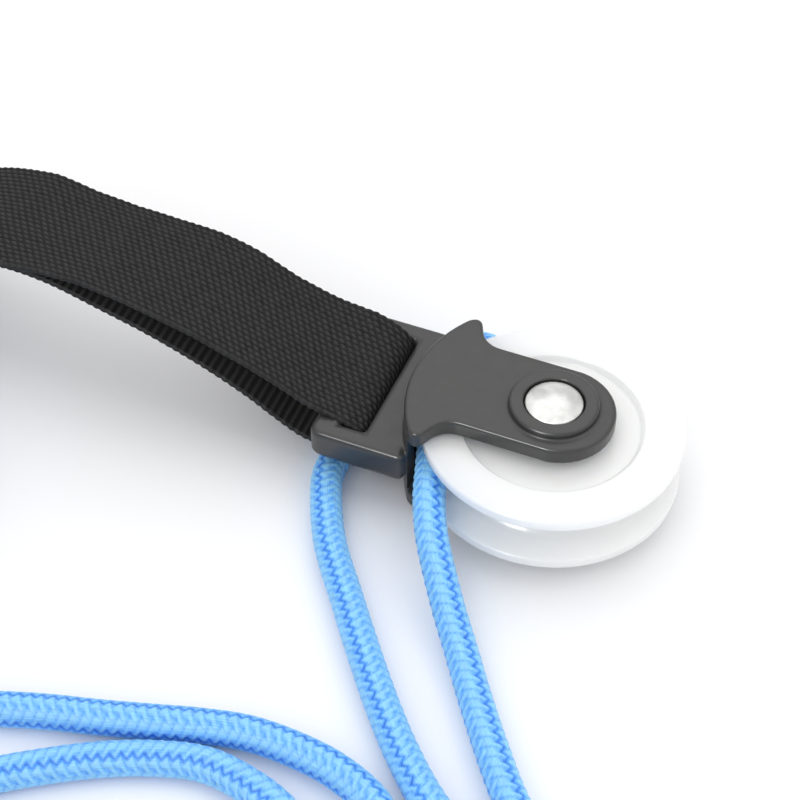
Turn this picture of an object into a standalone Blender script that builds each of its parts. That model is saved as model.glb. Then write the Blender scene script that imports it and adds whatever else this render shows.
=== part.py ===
"""Over-door shoulder pulley.

A moulded fork housing carries a grooved wheel on a rivet. A webbing strap loops
round the housing's bar and holds a foam-covered door anchor. One braided rope
runs over the wheel to two T-shaped hand grips, with its spare length in a coil.

Metres, +Z up. The origin is on the wheel's axle, on the face that the housing
lies on. The strap leaves towards -X.
"""
import math

import bmesh
import bpy
from mathutils import Matrix, Vector

MM = 0.001
GAP = 0.3 * MM

# wheel and axle
WHEEL_MID = 12.0 * MM
WHEEL_WIDTH = 13.0 * MM
WHEEL_RADIUS = 25.0 * MM
GROOVE_RADIUS = 3.5 * MM
ROPE_WRAP_RADIUS = 22.2 * MM
FACE_RECESS_RADIUS = 17.25 * MM
FACE_RECESS_DEPTH = 1.2 * MM
SHANK_RADIUS = 3.0 * MM
BUSHING_WALL = 1.2 * MM
WASHER_RADIUS = 8.0 * MM
RIVET_HEAD_RADIUS = 5.5 * MM

# fork housing
CHEEK_THICKNESS = 3.5 * MM
WHEEL_ROOM = 14.0 * MM
BOSS_HEIGHT = 1.5 * MM
BOSS_RADIUS = 8.55 * MM
ARM_HALF_WIDTH = 10.8 * MM
ARM_END_RADIUS = 10.9 * MM
ARM_END_X = 0.9 * MM
FIN_TIP_X = -22.5 * MM
FIN_TIP_Y = 16.5 * MM
HEAD_RADIUS = 28.0 * MM
WELL_RADIUS = 26.1 * MM
WELL_FLARE_X = -23.2 * MM
HEAD_BEVEL = 1.0 * MM
BLOCK_LEFT = -43.2 * MM
BLOCK_RIGHT = -23.5 * MM
BLOCK_HALF_WIDTH = 17.4 * MM
BLOCK_THICKNESS = 6.8 * MM
BLOCK_BEVEL = 1.4 * MM
SLOT_LEFT = -38.0 * MM
SLOT_RIGHT = -32.9 * MM
SLOT_HALF_WIDTH = 13.2 * MM
BAR_X = 0.5 * (BLOCK_LEFT + SLOT_LEFT)

# webbing strap and door anchor
STRAP_HALF_WIDTH = 12.5 * MM
STRAP_THICKNESS = 1.4 * MM
BAR_LOOP_RADIUS = 3.9 * MM
ANCHOR_RADIUS = 13.0 * MM
ANCHOR_X = -270.0 * MM
ANCHOR_Z = ANCHOR_RADIUS + GAP + STRAP_THICKNESS
ANCHOR_FOAM_LENGTH = 92.0 * MM
ANCHOR_CORE_RADIUS = 7.0 * MM

# rope
ROPE_DIAMETER = 6.3 * MM
WRAP_START = 161.6  # degrees round the wheel
WRAP_END = 196.8
COIL_X = -148.0 * MM
COIL_Y = -62.0 * MM
COIL_MEAN_RADIUS = 35.0 * MM
COIL_BOTTOM = 1.4 * MM
COIL_WIDTH = 19.1 * MM
COIL_HEIGHT = 12.0 * MM
TIE_INNER = 0.6 * MM
TIE_OUTER = 1.35 * MM

# hand grips
GRIP_RADIUS = 14.0 * MM
GRIP_LENGTH = 42.0 * MM
GRIP_CORE_RADIUS = 6.0 * MM
HUB_RADIUS = 10.5 * MM
HUB_WIDTH = 16.0 * MM
NECK_REACH = 30.0 * MM
NECK_RADIUS = 5.2 * MM
NECK_TILT = math.radians(16.0)
CAP_THICKNESS = 4.0 * MM

# routes of the rope, in millimetres: the far side of the wheel, then the near side
ROUTE_A = [
    (-20.86, 7.59, 12.0), (-19.8, 11.0, 12.0), (-19.0, 15.3, 11.8), (-19.4, 19.8, 10.4),
    (-21.8, 23.2, 8.1), (-25.5, 24.4, 5.7), (-29.8, 23.4, 4.1), (-33.8, 20.5, 3.4),
    (-37.1, 16.2, 3.2), (-39.3, 11.0, 3.2), (-40.6, 4.0, 3.2), (-40.5, -5.0, 3.2),
    (-39.8, -12.5, 3.2), (-38.6, -19.0, 3.2), (-32.4, -31.3, 3.2), (-23.7, -42.8, 3.2),
    (-16.6, -51.9, 3.2), (-9.6, -60.5, 3.2), (-2.4, -68.5, 3.2), (5.4, -75.7, 3.2),
    (14.0, -81.5, 3.2), (24.5, -86.5, 3.2), (33.5, -93.0, 3.2), (36.0, -103.0, 3.2),
    (30.5, -112.0, 3.2), (20.5, -113.5, 3.2), (12.5, -107.0, 3.2), (9.0, -97.5, 3.2),
    (4.5, -87.5, 3.2), (-1.8, -80.4, 3.2), (-9.7, -76.8, 3.2), (-17.9, -75.4, 3.2),
    (-27.4, -75.4, 3.2), (-35.9, -77.2, 3.2), (-44.4, -79.8, 3.2), (-52.9, -82.4, 3.2),
    (-61.5, -84.8, 3.2), (-69.9, -87.6, 3.2), (-86.0, -93.6, 3.3), (-103.0, -99.0, 3.8),
    (-121.5, -102.6, 4.6),
]
ROUTE_A_TAIL = [
    (-176.0, -103.6, 8.6), (-188.0, -106.4, 6.2), (-200.0, -110.0, 4.4),
    (-213.0, -114.8, 3.4), (-222.5, -117.4, 3.5), (-231.9, -118.0, 5.4),
]
ROUTE_B = [
    (-21.25, -6.4, 12.0), (-20.0, -10.7, 12.0), (-18.5, -15.2, 12.0),
    (-16.1, -22.1, 12.0), (-12.5, -29.2, 10.0), (-5.9, -38.5, 6.2), (-0.2, -45.9, 4.0),
    (5.7, -54.1, 3.2), (11.9, -62.5, 3.2), (18.2, -70.3, 3.2), (26.5, -78.5, 3.2),
    (37.0, -85.5, 3.2), (46.0, -95.0, 3.2), (48.0, -108.0, 3.2), (41.0, -120.0, 3.2),
    (27.0, -125.5, 3.2), (12.0, -122.5, 3.2), (2.0, -113.0, 3.2), (-3.5, -101.5, 3.2),
    (-9.0, -92.5, 3.2), (-16.4, -87.0, 3.2), (-25.2, -84.4, 3.2), (-33.0, -84.0, 3.2),
    (-41.8, -86.6, 3.2), (-49.5, -90.2, 3.2), (-56.5, -94.4, 3.2), (-64.0, -99.6, 3.2),
    (-74.0, -108.0, 3.2), (-81.5, -119.0, 3.2), (-84.6, -130.5, 3.5), (-85.0, -139.9, 5.4),
]
HANDLE_A_CENTRE = (-262.0 * MM, -118.0 * MM)
HANDLE_B_CENTRE = (-85.0 * MM, -170.0 * MM)

# sides of a turned piece
FINE_STEPS = 48
COARSE_STEPS = 24

PARTS = "shoulder_pulley"
CUTTERS = "cutters"


def clear_scene():
    for obj in list(bpy.data.objects):
        bpy.data.objects.remove(obj, do_unlink=True)
    for name in (PARTS, CUTTERS):
        collection = bpy.data.collections.new(name)
        bpy.context.scene.collection.children.link(collection)


def material(name, colour, roughness, metallic=0.0):
    found = bpy.data.materials.get(name)
    if found:
        return found
    made = bpy.data.materials.new(name)
    made.use_nodes = True
    shader = made.node_tree.nodes["Principled BSDF"]
    shader.inputs["Base Color"].default_value = (*colour, 1.0)
    shader.inputs["Roughness"].default_value = roughness
    shader.inputs["Metallic"].default_value = metallic
    return made


def black_nylon():
    return material("black_nylon", (0.03, 0.03, 0.033), 0.45)


def white_nylon():
    return material("white_nylon", (0.90, 0.92, 0.93), 0.35)


def steel():
    return material("steel", (0.75, 0.75, 0.74), 0.3, 1.0)


def bronze():
    return material("sintered_bronze", (0.55, 0.38, 0.2), 0.45, 1.0)


def webbing():
    return material("black_webbing", (0.012, 0.012, 0.013), 0.85)


def rope_braid():
    return material("blue_braid", (0.1, 0.38, 0.9), 0.6)


def foam():
    return material("black_foam", (0.02, 0.02, 0.022), 0.95)


def place(obj, surface, collection=PARTS):
    """Link an object to its collection and give it its material."""
    bpy.data.collections[collection].objects.link(obj)
    if surface:
        obj.data.materials.append(surface)
    return obj


def mesh_object(name, bm, surface, collection=PARTS):
    bmesh.ops.recalc_face_normals(bm, faces=bm.faces)
    mesh = bpy.data.meshes.new(name)
    bm.to_mesh(mesh)
    bm.free()
    mesh.shade_smooth()
    mesh.set_sharp_from_angle(angle=math.radians(32.0))
    return place(bpy.data.objects.new(name, mesh), surface, collection)


def cutter(obj):
    obj.hide_render = True
    obj.display_type = "WIRE"
    return obj


def prism(name, outline, low, high, surface, collection=PARTS):
    """A flat outline of (x, y) points made solid from one height to another."""
    bm = bmesh.new()
    corners = [bm.verts.new((x, y, low)) for x, y in outline]
    face = bm.faces.new(corners)
    raised = bmesh.ops.extrude_face_region(bm, geom=[face])
    top = [item for item in raised["geom"] if isinstance(item, bmesh.types.BMVert)]
    bmesh.ops.translate(bm, verts=top, vec=(0.0, 0.0, high - low))
    return mesh_object(name, bm, surface, collection)


def cylinder(name, radius, low, high, surface, segments=64, collection=PARTS):
    bm = bmesh.new()
    bmesh.ops.create_cone(
        bm, cap_ends=True, segments=segments, radius1=radius, radius2=radius,
        depth=high - low, matrix=Matrix.Translation((0.0, 0.0, 0.5 * (low + high))),
    )
    return mesh_object(name, bm, surface, collection)


def box(name, low, high, surface, collection=PARTS):
    bm = bmesh.new()
    size = [b - a for a, b in zip(low, high)]
    centre = [0.5 * (a + b) for a, b in zip(low, high)]
    shape = Matrix.Translation(centre) @ Matrix.Diagonal((*size, 1.0))
    bmesh.ops.create_cube(bm, size=1.0, matrix=shape)
    return mesh_object(name, bm, surface, collection)


def turned(name, profile, surface, closed, steps=COARSE_STEPS):
    """A profile of (radius, height) points, top to bottom down its outer side."""
    mesh = bpy.data.meshes.new(name)
    count = len(profile)
    edges = [(i, i + 1) for i in range(count - 1)]
    if closed:
        edges.append((count - 1, 0))
    mesh.from_pydata([(r, 0.0, z) for r, z in profile], edges, [])
    obj = place(bpy.data.objects.new(name, mesh), surface)
    screw = obj.modifiers.new("turn", "SCREW")
    screw.steps = steps
    screw.render_steps = steps
    screw.use_merge_vertices = True
    screw.merge_threshold = 0.00001
    screw.use_smooth_shade = True
    return obj


def ring_profile(inner, outer, low, high, edge):
    """A bushing or washer section with chamfered outer edges."""
    return [
        (inner, high), (outer - edge, high), (outer, high - edge),
        (outer, low + edge), (outer - edge, low), (inner, low),
    ]


def arc(centre, radius, start, end, count):
    """Points on an arc, angles in degrees, both ends included."""
    points = []
    for i in range(count):
        angle = math.radians(start + (end - start) * i / (count - 1))
        points.append((centre[0] + radius * math.cos(angle), centre[1] + radius * math.sin(angle)))
    return points


def bevel(obj, width, segments):
    modifier = obj.modifiers.new("rounded_edges", "BEVEL")
    modifier.width = width
    modifier.segments = segments
    modifier.limit_method = "ANGLE"
    modifier.angle_limit = math.radians(50.0)


def boolean(obj, other, operation):
    modifier = obj.modifiers.new(other.name, "BOOLEAN")
    modifier.operation = operation
    modifier.object = other


def smooth_route(route, spacing):
    """Read points at an even spacing from a smooth curve through the route."""
    knots = [Vector(point) * MM for point in route]
    ends = [2.0 * knots[0] - knots[1], *knots, 2.0 * knots[-1] - knots[-2]]
    dense = []
    steps = 24
    for i in range(len(knots) - 1):
        a, b, c, d = ends[i:i + 4]
        for k in range(steps):
            t = k / steps
            dense.append(0.5 * (
                2.0 * b + (c - a) * t + (2.0 * a - 5.0 * b + 4.0 * c - d) * t * t
                + (3.0 * b - a - 3.0 * c + d) * t * t * t
            ))
    dense.append(knots[-1])
    lengths = [0.0]
    for first, second in zip(dense, dense[1:]):
        lengths.append(lengths[-1] + (second - first).length)
    count = max(2, round(lengths[-1] / spacing)) + 1
    points = []
    index = 0
    for k in range(count):
        wanted = lengths[-1] * k / (count - 1)
        while index < len(lengths) - 2 and lengths[index + 1] < wanted:
            index += 1
        span = lengths[index + 1] - lengths[index]
        points.append(dense[index].lerp(dense[index + 1], (wanted - lengths[index]) / span))
    return points


def tube(name, points, radius, surface):
    """A round cord along its points, with closed ends."""
    curve = bpy.data.curves.new(name, "CURVE")
    curve.dimensions = "3D"
    curve.bevel_depth = radius
    curve.bevel_resolution = 2
    curve.use_fill_caps = True
    spline = curve.splines.new("POLY")
    spline.points.add(len(points) - 1)
    for target, point in zip(spline.points, points):
        target.co = (*point, 1.0)
    return place(bpy.data.objects.new(name, curve), surface)


def flat_shape(name, outlines, half_thickness, surface):
    """Closed outlines, the inner ones holes, made solid about their plane."""
    curve = bpy.data.curves.new(name, "CURVE")
    curve.dimensions = "2D"
    curve.fill_mode = "BOTH"
    curve.extrude = half_thickness
    for outline in outlines:
        spline = curve.splines.new("POLY")
        spline.points.add(len(outline) - 1)
        spline.use_cyclic_u = True
        for target, (x, y) in zip(spline.points, outline):
            target.co = (x, y, 0.0, 1.0)
    return place(bpy.data.objects.new(name, curve), surface)


def head_outline():
    """Plan of the fork: round arm end, straight arm, concave sweep to the fin tips."""
    end_angle = math.degrees(math.asin(ARM_HALF_WIDTH / ARM_END_RADIUS))
    points = arc((ARM_END_X, 0.0), ARM_END_RADIUS, -end_angle, end_angle, 21)
    sweep_centre = (-14.6 * MM, 15.9 * MM)
    upper = arc(sweep_centre, 5.1 * MM, 270.0, 205.0, 7)
    tip = (FIN_TIP_X + 1.0 * MM, FIN_TIP_Y - 1.3 * MM)
    upper += arc(tip, 1.5 * MM, 35.0, 145.0, 5)
    back_angle = math.degrees(math.atan2(FIN_TIP_Y - 0.9 * MM, -FIN_TIP_X))
    points += upper
    points += arc((0.0, 0.0), HEAD_RADIUS, 180.0 - back_angle, 180.0 + back_angle, 21)
    points += [(x, -y) for x, y in reversed(upper)]
    return points


def block_outline():
    """Plan of the flat loop that holds the strap, rounded at its free corners."""
    corner = 2.5 * MM
    left = BLOCK_LEFT + corner
    side = BLOCK_HALF_WIDTH - corner
    points = [(BLOCK_RIGHT, -BLOCK_HALF_WIDTH), (BLOCK_RIGHT, BLOCK_HALF_WIDTH)]
    points += arc((left, side), corner, 90.0, 180.0, 6)
    points += arc((left, -side), corner, 180.0, 270.0, 6)
    return points


def make_housing():
    """The fork: two cheeks on one bridge wall, bosses, and the strap's loop."""
    outer_half = 0.5 * WHEEL_ROOM + CHEEK_THICKNESS
    low = WHEEL_MID - outer_half
    high = WHEEL_MID + outer_half
    housing = prism("fork_housing", head_outline(), low, high, black_nylon())
    bevel(housing, HEAD_BEVEL, 2)

    block_low = WHEEL_MID - 0.5 * BLOCK_THICKNESS
    block_high = WHEEL_MID + 0.5 * BLOCK_THICKNESS
    block = prism("loop_block", block_outline(), block_low, block_high, None, CUTTERS)
    slot = box(
        "strap_slot", (SLOT_LEFT, -SLOT_HALF_WIDTH, block_low - MM),
        (SLOT_RIGHT, SLOT_HALF_WIDTH, block_high + MM), None, CUTTERS,
    )
    boolean(block, cutter(slot), "DIFFERENCE")
    bevel(block, BLOCK_BEVEL, 2)
    boolean(housing, cutter(block), "UNION")

    boss_overlap = 1.0 * MM
    spans = ((low - BOSS_HEIGHT, low + boss_overlap), (high - boss_overlap, high + BOSS_HEIGHT))
    for name, (bottom, top) in zip(("boss_below", "boss_above"), spans):
        boss = cylinder(name, BOSS_RADIUS, bottom, top, None, 48, CUTTERS)
        bevel(boss, 0.4 * MM, 1)
        boolean(housing, cutter(boss), "UNION")

    well_low = WHEEL_MID - 0.5 * WHEEL_ROOM
    well_high = WHEEL_MID + 0.5 * WHEEL_ROOM
    well = cylinder("wheel_well", WELL_RADIUS, well_low, well_high, None, 64, CUTTERS)
    flare = box(
        "rope_flare", (WELL_FLARE_X, -1.5 * HEAD_RADIUS, well_low),
        (1.5 * HEAD_RADIUS, 1.5 * HEAD_RADIUS, well_high), None, CUTTERS,
    )
    for shape in (well, flare):
        boolean(housing, cutter(shape), "DIFFERENCE")

    bore = cylinder(
        "rivet_bore", SHANK_RADIUS + GAP, low - 2.0 * BOSS_HEIGHT, high + 2.0 * BOSS_HEIGHT,
        None, 24, CUTTERS,
    )
    boolean(housing, cutter(bore), "DIFFERENCE")
    recess = RIVET_HEAD_RADIUS + 0.35 * MM
    seat = 0.2 * MM
    spans = ((low - 2.0 * BOSS_HEIGHT, low + seat), (high - seat, high + 2.0 * BOSS_HEIGHT))
    for name, (bottom, top) in zip(("tail_recess", "head_recess"), spans):
        boolean(housing, cutter(cylinder(name, recess, bottom, top, None, 32, CUTTERS)), "DIFFERENCE")


def make_rivet():
    """The axle: a domed head, a plain shank and a flat set tail."""
    half = 0.5 * WHEEL_ROOM + CHEEK_THICKNESS
    tail_low = WHEEL_MID - half - BOSS_HEIGHT
    tail_high = WHEEL_MID - half - 0.1 * MM
    head_low = WHEEL_MID + half + 0.1 * MM
    head_edge = head_low + 0.9 * MM
    dome = 1.15 * MM
    sphere = (RIVET_HEAD_RADIUS ** 2 + dome ** 2) / (2.0 * dome)
    reach = math.degrees(math.asin(RIVET_HEAD_RADIUS / sphere))
    crown = arc((0.0, head_edge + dome - sphere), sphere, 90.0, 90.0 - reach, 6)
    profile = [(0.0, head_edge + dome)] + crown[1:]
    profile += [
        (RIVET_HEAD_RADIUS, head_low), (SHANK_RADIUS, head_low), (SHANK_RADIUS, tail_high),
        (RIVET_HEAD_RADIUS, tail_high), (RIVET_HEAD_RADIUS, tail_low + 0.3 * MM),
        (RIVET_HEAD_RADIUS - 0.3 * MM, tail_low), (0.0, tail_low),
    ]
    turned("axle_rivet", profile, steel(), closed=False, steps=32)


def make_wheel():
    """The grooved wheel, its bushing and the two thrust washers."""
    half = 0.5 * WHEEL_WIDTH
    hub_half = half - FACE_RECESS_DEPTH
    bore = SHANK_RADIUS + GAP + BUSHING_WALL + GAP
    chamfer = 0.5 * MM
    upper = [
        (bore, hub_half), (FACE_RECESS_RADIUS - 0.4 * MM, hub_half), (FACE_RECESS_RADIUS, half),
        (WHEEL_RADIUS - chamfer, half), (WHEEL_RADIUS - 0.12 * MM, half - 0.14 * MM),
        (WHEEL_RADIUS, half - chamfer), (WHEEL_RADIUS, GROOVE_RADIUS + 0.25 * MM),
        (WHEEL_RADIUS - 0.25 * MM, GROOVE_RADIUS),
    ]
    groove = arc((ROPE_WRAP_RADIUS, 0.0), GROOVE_RADIUS, 90.0, 270.0, 9)
    section = upper + groove + [(r, -z) for r, z in reversed(upper)]
    profile = [(r, WHEEL_MID + z) for r, z in section]
    turned("wheel", profile, white_nylon(), closed=True, steps=FINE_STEPS)

    inner = SHANK_RADIUS + GAP
    bushing = ring_profile(
        inner, inner + BUSHING_WALL, WHEEL_MID - hub_half, WHEEL_MID + hub_half, 0.2 * MM,
    )
    turned("wheel_bushing", bushing, bronze(), closed=True)
    room = 0.5 * WHEEL_ROOM - GAP
    for name, side in (("thrust_washer_top", 1.0), ("thrust_washer_bottom", -1.0)):
        faces = sorted((WHEEL_MID + side * (hub_half + GAP), WHEEL_MID + side * room))
        washer = ring_profile(inner, WASHER_RADIUS, faces[0], faces[1], 0.15 * MM)
        turned(name, washer, white_nylon(), closed=True)


def offset_line(points, distance):
    """Move each point of a line sideways, to the left of its direction."""
    moved = []
    for i, (x, z) in enumerate(points):
        ahead = points[min(i + 1, len(points) - 1)]
        behind = points[max(i - 1, 0)]
        along = Vector((ahead[0] - behind[0], ahead[1] - behind[1])).normalized()
        moved.append((x - along.y * distance, z + along.x * distance))
    return moved


def strap_line(points, spacing=4.0 * MM):
    return [(p.x, p.y) for p in smooth_route([(x, z, 0.0) for x, z in points], spacing)]


def make_strap():
    """The webbing: two layers round the bar that lie together further out.

    The side view is drawn in the X-Z plane and made solid across the width.
    """
    centre = (BAR_X, WHEEL_MID)
    turn = arc(centre, BAR_LOOP_RADIUS, -100.0, 100.0, 15)
    outer_turn = arc(centre, BAR_LOOP_RADIUS + STRAP_THICKNESS, -100.0, 100.0, 15)
    top = strap_line([
        (-41.6, 17.2), (-47.0, 19.4), (-60.0, 24.3), (-71.0, 28.2), (-87.0, 30.9),
        (-102.0, 32.4), (-114.0, 32.4), (-127.0, 29.0), (-143.0, 20.5), (-160.0, 10.6),
        (-177.0, 4.4), (-196.0, 2.9), (-225.0, 2.8), (-236.0, 2.9), (-242.0, 5.2),
        (-247.5, 11.4), (-253.0, 17.7), (-258.2, 23.5),
    ])
    bottom = strap_line([
        (-262.0, 0.0), (-246.0, 0.0), (-225.0, 0.0), (-196.0, 0.05),
        (-177.0, 1.7), (-160.0, 7.8), (-143.0, 17.4), (-127.0, 25.8), (-114.0, 29.3),
        (-102.0, 28.8), (-88.5, 25.4), (-78.0, 22.3), (-67.5, 18.2), (-59.0, 14.0),
        (-52.0, 9.6), (-46.5, 7.2), (-41.6, 6.8),
    ])
    anchor = (ANCHOR_X, ANCHOR_Z)
    wrap = arc(anchor, ANCHOR_RADIUS + GAP + STRAP_THICKNESS, 46.0, 270.0, 26)
    outer = outer_turn + top[1:] + wrap + bottom[:-1]
    hole_top = offset_line(strap_line([
        (-41.6, 17.2), (-47.0, 19.4), (-60.0, 24.3), (-71.0, 28.2), (-87.0, 30.9),
        (-101.0, 32.3),
    ]), STRAP_THICKNESS)
    hole_bottom = offset_line(strap_line([
        (-100.5, 28.5), (-88.5, 25.4), (-78.0, 22.3), (-67.5, 18.2), (-59.0, 14.0),
        (-52.0, 9.6), (-46.5, 7.2), (-41.6, 6.8),
    ]), STRAP_THICKNESS)
    hole = turn + hole_top[1:] + hole_bottom[:-1]
    crotch = [
        (-258.0 * MM, STRAP_THICKNESS), (-247.0 * MM, STRAP_THICKNESS),
        (-243.5 * MM, 2.0 * STRAP_THICKNESS),
    ]
    anchor_hole = arc(anchor, ANCHOR_RADIUS + GAP, 44.0, 270.0, 24) + crotch
    strap = flat_shape("web_strap", [outer, hole, anchor_hole], STRAP_HALF_WIDTH, webbing())
    strap.rotation_euler = (math.radians(90.0), 0.0, 0.0)


def lay_along(obj, centre, heading):
    """Turn an object made about Z so that its axis lies flat along a heading."""
    turn = Matrix.Rotation(heading, 4, "Z") @ Matrix.Rotation(math.radians(90.0), 4, "Y")
    obj.matrix_world = Matrix.Translation(centre) @ turn


def cap_profile(radius, low, high):
    """An end plug, domed towards its outer face."""
    thick = high - low
    crown = [
        (radius * math.sin(math.radians(a)), low + thick * (0.35 + 0.65 * math.cos(math.radians(a))))
        for a in range(0, 91, 30)
    ]
    return [(0.0, crown[0][1])] + crown[1:] + [(radius, low), (0.0, low)]


def make_cap(name, centre, heading, start):
    cap = turned(name, cap_profile(GRIP_RADIUS - 1.5 * MM, start, start + CAP_THICKNESS),
                 black_nylon(), closed=False)
    lay_along(cap, centre, heading)


def sleeve_profile(inner, outer, low, high):
    round_off = 2.0 * MM
    upper = arc((outer - round_off, high - round_off), round_off, 90.0, 0.0, 3)
    lower = arc((outer - round_off, low + round_off), round_off, 0.0, -90.0, 3)
    return [(inner, high)] + upper + lower + [(inner, low)]


def make_anchor():
    """The door anchor: a plastic tube under a foam sleeve, with an end plug each side."""
    centre = Vector((ANCHOR_X, 0.0, ANCHOR_Z))
    across = math.radians(90.0)
    half = 0.5 * ANCHOR_FOAM_LENGTH
    core = turned("anchor_core", ring_profile(
        ANCHOR_CORE_RADIUS - 2.0 * MM, ANCHOR_CORE_RADIUS, -half, half, 0.4 * MM,
    ), black_nylon(), closed=True)
    lay_along(core, centre, across)
    sleeve = turned("anchor_foam", sleeve_profile(
        ANCHOR_CORE_RADIUS + GAP, ANCHOR_RADIUS, -half, half,
    ), foam(), closed=True)
    lay_along(sleeve, centre, across)
    for name, heading in (("anchor_cap_left", across), ("anchor_cap_right", -across)):
        make_cap(name, centre, heading, half + GAP)


def make_coil():
    """The spare rope: one solid of the coil's outer shape, and its two ties."""
    corner = 2.9 * MM
    inner = COIL_MEAN_RADIUS - 0.5 * COIL_WIDTH
    outer = COIL_MEAN_RADIUS + 0.5 * COIL_WIDTH
    top = COIL_BOTTOM + COIL_HEIGHT
    shoulder = 3.0 * MM
    profile = [
        (inner + shoulder, top), (outer - shoulder, top), (outer - 0.6 * MM, top - corner),
        (outer, COIL_BOTTOM + corner), (outer - corner, COIL_BOTTOM), (inner + corner, COIL_BOTTOM),
        (inner, COIL_BOTTOM + corner), (inner + 0.6 * MM, top - corner),
    ]
    coil = turned("rope_coil", profile, rope_braid(), closed=True, steps=32)
    coil.location = (COIL_X, COIL_Y, 0.0)

    def band(grow):
        """The tie's line round the coil's section."""
        edge = corner + grow
        left = inner - grow + edge
        right = outer + grow - edge
        low = COIL_BOTTOM - grow + edge
        high = top + grow - edge
        return (
            arc((right, high), edge, 90.0, 0.0, 4) + arc((right, low), edge, 0.0, -90.0, 4)
            + arc((left, low), edge, -90.0, -180.0, 4) + arc((left, high), edge, 180.0, 90.0, 4)
        )

    for name, angle in (("coil_tie_left", 150.0), ("coil_tie_right", 15.0)):
        tie = flat_shape(name, [band(TIE_OUTER), band(TIE_INNER)], 4.0 * MM, webbing())
        tie.location = (COIL_X, COIL_Y, 0.0)
        tie.rotation_euler = (math.radians(90.0), 0.0, math.radians(angle))


def make_handle(name, centre, heading):
    """A T-shaped hand grip: core with a neck for the rope, two sleeves, two plugs.

    The neck points a quarter turn to the left of the heading, and dips to the table.
    """
    middle = Vector((*centre, GRIP_RADIUS))
    half = 0.5 * HUB_WIDTH + GAP + GRIP_LENGTH
    hub_half = 0.5 * HUB_WIDTH
    core_profile = [
        (0.0, half), (GRIP_CORE_RADIUS, half), (GRIP_CORE_RADIUS, hub_half),
        (HUB_RADIUS - 1.5 * MM, hub_half), (HUB_RADIUS, hub_half - 1.5 * MM),
        (HUB_RADIUS, -hub_half + 1.5 * MM), (HUB_RADIUS - 1.5 * MM, -hub_half),
        (GRIP_CORE_RADIUS, -hub_half), (GRIP_CORE_RADIUS, -half), (0.0, -half),
    ]
    core = turned(f"{name}_core", core_profile, black_nylon(), closed=False)
    lay_along(core, middle, heading)

    neck_start = 2.0 * MM
    neck = cylinder(f"{name}_neck", NECK_RADIUS, neck_start, NECK_REACH, None, 20, CUTTERS)
    dip = Matrix.Rotation(heading, 4, "Z") @ Matrix.Rotation(-math.radians(90.0) - NECK_TILT, 4, "X")
    neck.matrix_world = Matrix.Translation(middle) @ dip
    bevel(neck, 0.6 * MM, 1)
    boolean(core, cutter(neck), "UNION")

    for side, turn in (("left", 0.0), ("right", math.pi)):
        grip = turned(f"{name}_grip_{side}", sleeve_profile(
            GRIP_CORE_RADIUS + GAP, GRIP_RADIUS, hub_half + GAP, half,
        ), foam(), closed=True)
        lay_along(grip, middle, heading + turn)
        make_cap(f"{name}_cap_{side}", middle, heading + turn, half + GAP)


def make_rope():
    """The rope's free stretches: the near one starts with its turn round the wheel."""
    spacing = 1.5 * ROPE_DIAMETER
    turn = arc((0.0, 0.0), ROPE_WRAP_RADIUS, WRAP_START, WRAP_END, 8)
    over_wheel = [Vector((x, y, WHEEL_MID)) for x, y in turn]
    stretches = (
        ("rope_far", smooth_route(ROUTE_A, spacing)),
        ("rope_far_tail", smooth_route(ROUTE_A_TAIL, spacing)),
        ("rope_near", over_wheel + smooth_route(ROUTE_B, spacing)[1:]),
    )
    for name, points in stretches:
        tube(name, points, 0.5 * ROPE_DIAMETER, rope_braid())


def main():
    clear_scene()
    make_housing()
    make_rivet()
    make_wheel()
    make_strap()
    make_anchor()
    make_rope()
    make_coil()
    make_handle("handle_far", HANDLE_A_CENTRE, math.radians(-90.0))
    make_handle("handle_near", HANDLE_B_CENTRE, 0.0)


main()
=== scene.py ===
"""Looks of the over-door shoulder pulley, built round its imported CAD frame.

Metres, +Z up. The origin is on the wheel's axle, in the plane of the table.
"""
import math

import bmesh
import bpy
import numpy as np
from mathutils import Matrix, Vector


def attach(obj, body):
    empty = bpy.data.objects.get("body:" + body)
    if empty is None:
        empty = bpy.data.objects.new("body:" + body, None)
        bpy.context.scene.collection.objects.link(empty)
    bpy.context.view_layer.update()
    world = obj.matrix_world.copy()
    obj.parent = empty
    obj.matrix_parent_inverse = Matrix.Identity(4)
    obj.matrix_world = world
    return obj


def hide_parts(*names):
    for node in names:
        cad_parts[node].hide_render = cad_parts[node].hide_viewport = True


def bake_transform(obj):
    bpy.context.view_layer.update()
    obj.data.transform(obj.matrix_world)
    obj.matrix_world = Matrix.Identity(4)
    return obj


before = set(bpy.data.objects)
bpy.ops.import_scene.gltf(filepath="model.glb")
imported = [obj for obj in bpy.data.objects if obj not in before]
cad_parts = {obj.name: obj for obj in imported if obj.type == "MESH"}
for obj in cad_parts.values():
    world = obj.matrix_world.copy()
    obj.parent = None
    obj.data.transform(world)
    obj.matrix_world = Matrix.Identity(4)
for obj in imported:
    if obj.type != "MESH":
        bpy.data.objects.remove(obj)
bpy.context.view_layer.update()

MM = 0.001
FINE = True


# ---------------------------------------------------------------- camera

def make_camera():
    """A long lens, looking down along the strap at the wheel."""
    data = bpy.data.cameras.new("camera")
    data.lens = 81.0
    data.sensor_width = 36.0
    data.clip_start = 0.01
    camera = bpy.data.objects.new("camera", data)
    camera.location = (0.0618, -0.2228, 0.2676)
    camera.rotation_euler = (math.radians(43.31), 0.0, math.radians(22.64))
    bpy.context.scene.collection.objects.link(camera)
    bpy.context.scene.camera = camera


make_camera()


# ---------------------------------------------------------------- helpers

def link(obj):
    """The object joins the scene."""
    bpy.context.scene.collection.objects.link(obj)
    return obj


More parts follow.
